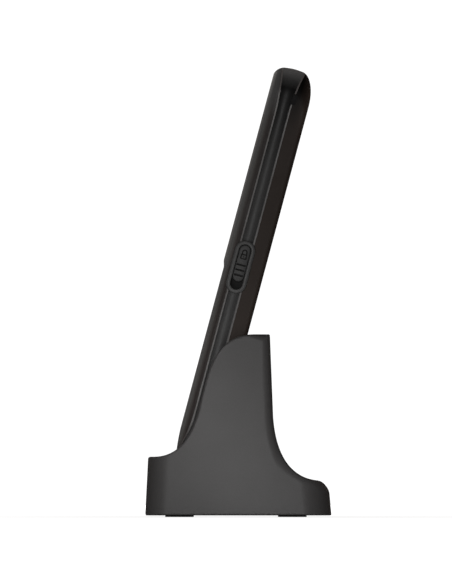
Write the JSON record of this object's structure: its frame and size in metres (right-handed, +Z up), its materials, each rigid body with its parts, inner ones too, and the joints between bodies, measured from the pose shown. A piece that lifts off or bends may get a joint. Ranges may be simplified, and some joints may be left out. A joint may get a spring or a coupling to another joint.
{
  "type": "cordless phone with base",
  "caption": "Slim bar cordless handset with keypad, display and side lock slider, leaning back in a sculpted table-top charging cradle.",
  "frame": {"origin": "centre of the cradle's footprint, on the plane its feet stand on", "axes": "+Z up, +X to the handset's right side, -Y towards the user and the display side"},
  "size_m": [0.069, 0.0578, 0.1397],
  "materials": {
    "shell_graphite": "fine matte texture",
    "trim_grey": "satin",
    "band_charcoal": "satin",
    "cover_umber": "matte",
    "chassis_magnesium": "cast",
    "window_black": "polished",
    "display_glass": "polished",
    "board_green": "solder mask",
    "silicone_grey": "matte",
    "steel": "brushed",
    "tungsten": "sintered",
    "speaker_black": "matte",
    "gold": "gold plated",
    "battery_case": "printed wrap",
    "control_graphite": "satin",
    "key_charcoal": "satin",
    "key_green": "satin",
    "key_red": "satin",
    "cradle_graphite": "fine matte texture",
    "base_dark": "matte",
    "foot_rubber": "matte",
    "ballast_iron": "zinc plated"
  },
  "bodies": {
    "cradle": {"cradle_housing": "cradle_graphite", "cradle_base_plate": "base_dark", "cradle_feet": "foot_rubber", "cradle_screws": "steel", "cradle_board": "board_green", "cradle_inlet": "steel", "contact_block": "speaker_black", "ballast_plate": "ballast_iron"},
    "charging_pins": {"contact_pins": "gold"},
    "handset": {"handset_front_shell": "shell_graphite", "front_trim_ring": "trim_grey", "side_band": "band_charcoal", "rear_trim_ring": "trim_grey", "rear_housing": "cover_umber", "mid_chassis": "chassis_magnesium", "display_window": "window_black", "lcd_module": "display_glass", "main_board": "board_green", "keypad_mat": "silicone_grey", "receiver": "steel", "earpiece_grille": "steel", "loudspeaker": "speaker_black", "microphone": "steel", "vibration_motor": "steel", "antenna": "gold", "battery": "battery_case", "battery_contacts": "gold", "sim_holder": "steel", "handset_screws": "steel", "switch_bezel": "shell_graphite", "lock_switch": "steel", "volume_switch": "steel", "charging_pads": "gold", "handset_socket": "steel"},
    "cover": {"battery_cover": "cover_umber"},
    "motor_rotor": {"motor_weight": "tungsten"},
    "lock_knob": {"lock_slider": "control_graphite"},
    "volume_key": {"volume_rocker": "control_graphite"},
    "navigation_key": {"nav_rocker": "key_charcoal"},
    "key_1": {"key_1": "key_charcoal"},
    "key_2": {"key_2": "key_charcoal"},
    "key_3": {"key_3": "key_charcoal"},
    "key_4": {"key_4": "key_charcoal"},
    "key_5": {"key_5": "key_charcoal"},
    "key_6": {"key_6": "key_charcoal"},
    "key_7": {"key_7": "key_charcoal"},
    "key_8": {"key_8": "key_charcoal"},
    "key_9": {"key_9": "key_charcoal"},
    "key_star": {"key_star": "key_charcoal"},
    "key_0": {"key_0": "key_charcoal"},
    "key_hash": {"key_hash": "key_charcoal"},
    "key_call": {"key_call": "key_green"},
    "key_end": {"key_end": "key_red"},
    "softkey_left": {"softkey_left": "key_charcoal"},
    "softkey_right": {"softkey_right": "key_charcoal"}
  },
  "joints": [
    {"name": "handset_lift", "type": "slide", "parent": "cradle", "child": "handset", "axis": [0, 0.2588, 0.9659], "range_m": [0, 0.06]},
    {"name": "contact_pin_press", "type": "slide", "parent": "cradle", "child": "charging_pins", "axis": [0, -0.2588, -0.9659], "range_m": [0, 0.0006], "stiffness_N_per_m": 1000},
    {"name": "cover_hinge", "type": "hinge", "parent": "handset", "child": "cover", "pos_m": [0, 0.00094, 0.05255], "axis": [-1, 0, 0], "range_deg": [0, 35]},
    {"name": "motor_spin", "type": "hinge", "parent": "handset", "child": "motor_rotor", "pos_m": [-0.0165, -0.00898, 0.02789], "axis": [1, 0, 0], "continuous": true},
    {"name": "lock_slide", "type": "slide", "parent": "handset", "child": "lock_knob", "axis": [0, -0.2588, -0.9659], "range_m": [0, 0.00245]},
    {"name": "volume_rock", "type": "hinge", "parent": "handset", "child": "volume_key", "pos_m": [-0.0257, 0.00818, 0.10509], "axis": [0, 0.9659, -0.2588], "range_deg": [-3, 3], "stiffness_Nm_per_rad": 0.3},
    {"name": "navigation_rock", "type": "hinge", "parent": "handset", "child": "navigation_key", "pos_m": [0, -0.00439, 0.06963], "axis": [1, 0, 0], "range_deg": [-3, 3], "stiffness_Nm_per_rad": 0.3},
    {"name": "key_1_press", "type": "slide", "parent": "handset", "child": "key_1", "axis": [0, 0.9659, -0.2588], "range_m": [0, 0.0004], "stiffness_N_per_m": 1500},
    {"name": "key_2_press", "type": "slide", "parent": "handset", "child": "key_2", "axis": [0, 0.9659, -0.2588], "range_m": [0, 0.0004], "stiffness_N_per_m": 1500},
    {"name": "key_3_press", "type": "slide", "parent": "handset", "child": "key_3", "axis": [0, 0.9659, -0.2588], "range_m": [0, 0.0004], "stiffness_N_per_m": 1500},
    {"name": "key_4_press", "type": "slide", "parent": "handset", "child": "key_4", "axis": [0, 0.9659, -0.2588], "range_m": [0, 0.0004], "stiffness_N_per_m": 1500},
    {"name": "key_5_press", "type": "slide", "parent": "handset", "child": "key_5", "axis": [0, 0.9659, -0.2588], "range_m": [0, 0.0004], "stiffness_N_per_m": 1500},
    {"name": "key_6_press", "type": "slide", "parent": "handset", "child": "key_6", "axis": [0, 0.9659, -0.2588], "range_m": [0, 0.0004], "stiffness_N_per_m": 1500},
    {"name": "key_7_press", "type": "slide", "parent": "handset", "child": "key_7", "axis": [0, 0.9659, -0.2588], "range_m": [0, 0.0004], "stiffness_N_per_m": 1500},
    {"name": "key_8_press", "type": "slide", "parent": "handset", "child": "key_8", "axis": [0, 0.9659, -0.2588], "range_m": [0, 0.0004], "stiffness_N_per_m": 1500},
    {"name": "key_9_press", "type": "slide", "parent": "handset", "child": "key_9", "axis": [0, 0.9659, -0.2588], "range_m": [0, 0.0004], "stiffness_N_per_m": 1500},
    {"name": "key_star_press", "type": "slide", "parent": "handset", "child": "key_star", "axis": [0, 0.9659, -0.2588], "range_m": [0, 0.0004], "stiffness_N_per_m": 1500},
    {"name": "key_0_press", "type": "slide", "parent": "handset", "child": "key_0", "axis": [0, 0.9659, -0.2588], "range_m": [0, 0.0004], "stiffness_N_per_m": 1500},
    {"name": "key_hash_press", "type": "slide", "parent": "handset", "child": "key_hash", "axis": [0, 0.9659, -0.2588], "range_m": [0, 0.0004], "stiffness_N_per_m": 1500},
    {"name": "key_call_press", "type": "slide", "parent": "handset", "child": "key_call", "axis": [0, 0.9659, -0.2588], "range_m": [0, 0.0004], "stiffness_N_per_m": 1500},
    {"name": "key_end_press", "type": "slide", "parent": "handset", "child": "key_end", "axis": [0, 0.9659, -0.2588], "range_m": [0, 0.0004], "stiffness_N_per_m": 1500},
    {"name": "softkey_left_press", "type": "slide", "parent": "handset", "child": "softkey_left", "axis": [0, 0.9659, -0.2588], "range_m": [0, 0.0004], "stiffness_N_per_m": 1500},
    {"name": "softkey_right_press", "type": "slide", "parent": "handset", "child": "softkey_right", "axis": [0, 0.9659, -0.2588], "range_m": [0, 0.0004], "stiffness_N_per_m": 1500}
  ]
}
